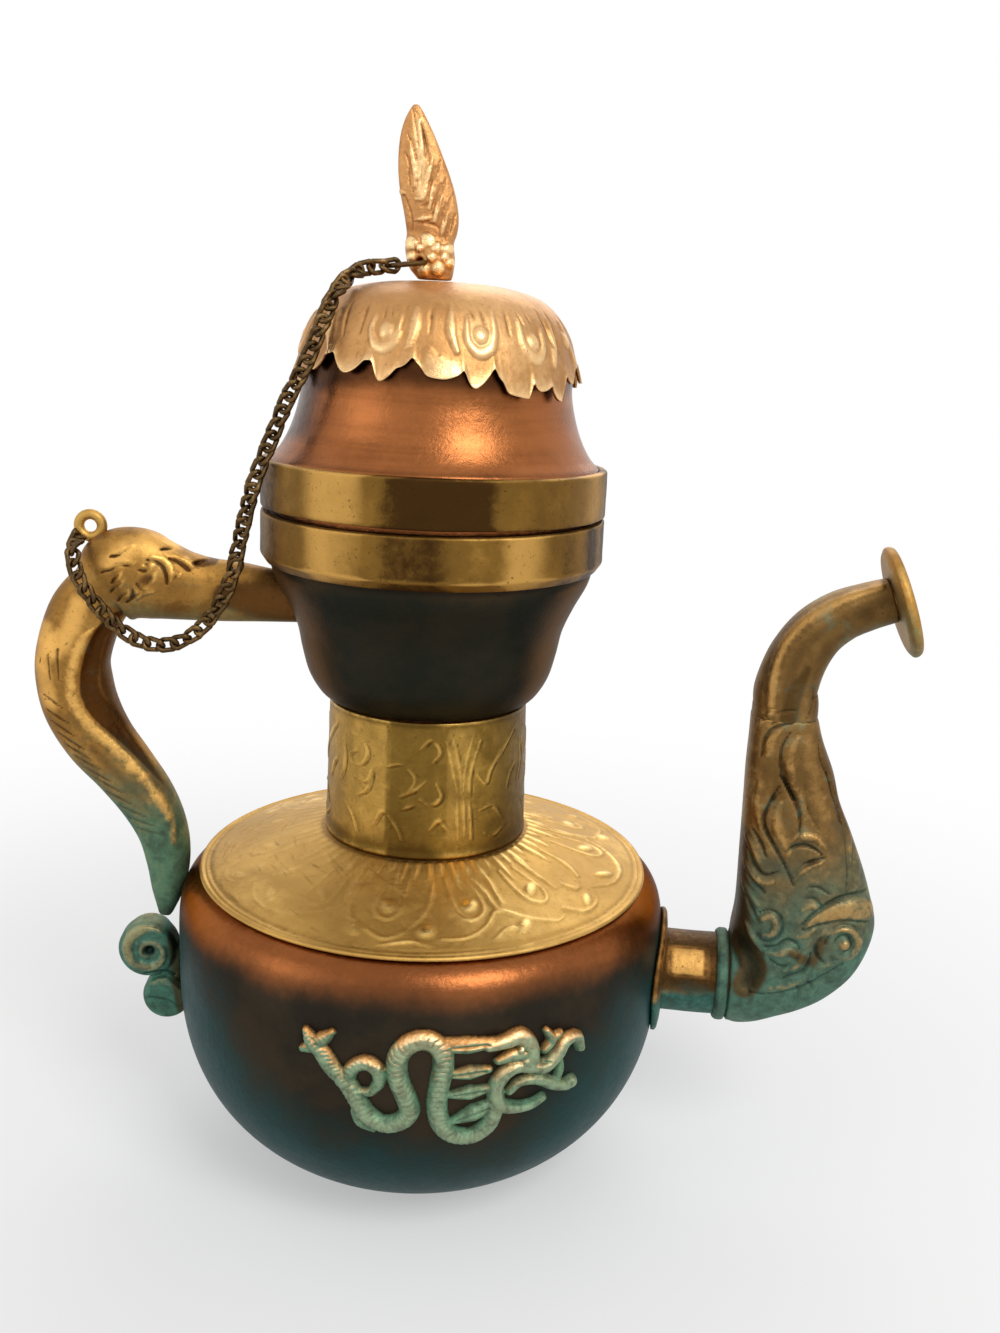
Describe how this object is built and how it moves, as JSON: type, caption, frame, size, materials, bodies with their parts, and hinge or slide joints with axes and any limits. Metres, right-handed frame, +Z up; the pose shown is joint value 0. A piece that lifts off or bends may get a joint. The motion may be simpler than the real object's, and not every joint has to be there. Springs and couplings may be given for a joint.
{
  "type": "tibetan ewer",
  "caption": "Lidded copper ewer with brass mounts, cast handle, bent spout with a beast's head, dragon reliefs and a chain that ties the lid to the handle, for pouring liquids",
  "frame": {"origin": "centre of the flat base, on the surface it stands on", "axes": "+Z up along the vessel's axis, +X towards the spout, -X towards the handle, -Y towards the side with the chain, which the picture shows"},
  "size_m": [0.2246, 0.1358, 0.2717],
  "materials": {
    "copper": "hammered sheet copper, reddish brown with dark streaks",
    "dark_copper": "sheet copper under a near-black patina",
    "sheet_brass": "worked sheet brass, yellow with brown stains in the hollows",
    "pale_brass": "rubbed pale brass",
    "cast_brass": "cast brass, gilt on the high parts and green in the hollows",
    "bronze": "dark bronze wire"
  },
  "bodies": {
    "vessel": {"body_shell": "copper", "base_disc": "copper", "shoulder_plate": "sheet_brass", "neck_tube": "copper", "neck_collar": "sheet_brass", "mouth_cup": "dark_copper", "cup_rim_band": "sheet_brass", "handle": "cast_brass", "handle_rivet_lower": "sheet_brass", "handle_rivet_upper": "sheet_brass", "scroll_bracket": "cast_brass", "scroll_rivet": "sheet_brass", "spout_flange": "copper", "spout_tube": "copper", "spout_collar": "cast_brass", "spout_head": "cast_brass", "spout_neck": "cast_brass", "spout_lip": "cast_brass", "dragon_front": "cast_brass", "dragon_back": "cast_brass"},
    "lid": {"lid_shell": "copper", "lid_rim_band": "sheet_brass", "lid_sleeve": "copper", "leaf_cap": "pale_brass", "finial": "pale_brass", "finial_washer": "sheet_brass", "finial_ring": "bronze", "chain_link_01": "bronze", "chain_link_02": "bronze", "chain_link_03": "bronze", "chain_link_04": "bronze", "chain_link_05": "bronze", "chain_link_06": "bronze", "chain_link_07": "bronze", "chain_link_08": "bronze", "chain_link_09": "bronze", "chain_link_10": "bronze", "chain_link_11": "bronze", "chain_link_12": "bronze", "chain_link_13": "bronze", "chain_link_14": "bronze", "chain_link_15": "bronze", "chain_link_16": "bronze", "chain_link_17": "bronze", "chain_link_18": "bronze"},
    "chain_lower": {"chain_link_19": "bronze", "chain_link_20": "bronze", "chain_link_21": "bronze", "chain_link_22": "bronze", "chain_link_23": "bronze", "chain_link_24": "bronze", "chain_link_25": "bronze", "chain_link_26": "bronze", "chain_link_27": "bronze", "chain_link_28": "bronze", "chain_link_29": "bronze", "chain_link_30": "bronze", "chain_link_31": "bronze", "chain_link_32": "bronze"}
  },
  "joints": [
    {"name": "lid_lift", "type": "slide", "parent": "vessel", "child": "lid", "axis": [0, 0, 1], "range_m": [0, 0.009]},
    {"name": "chain_swing", "type": "hinge", "parent": "vessel", "child": "chain_lower", "pos_m": [-0.08872, 0, 0.16686], "axis": [0, -1, 0], "range_deg": [0, 12.9]}
  ],
  "couplings": [
    {"joint": "chain_swing", "follows": "lid_lift", "rad_per_m": 24.7}
  ]
}
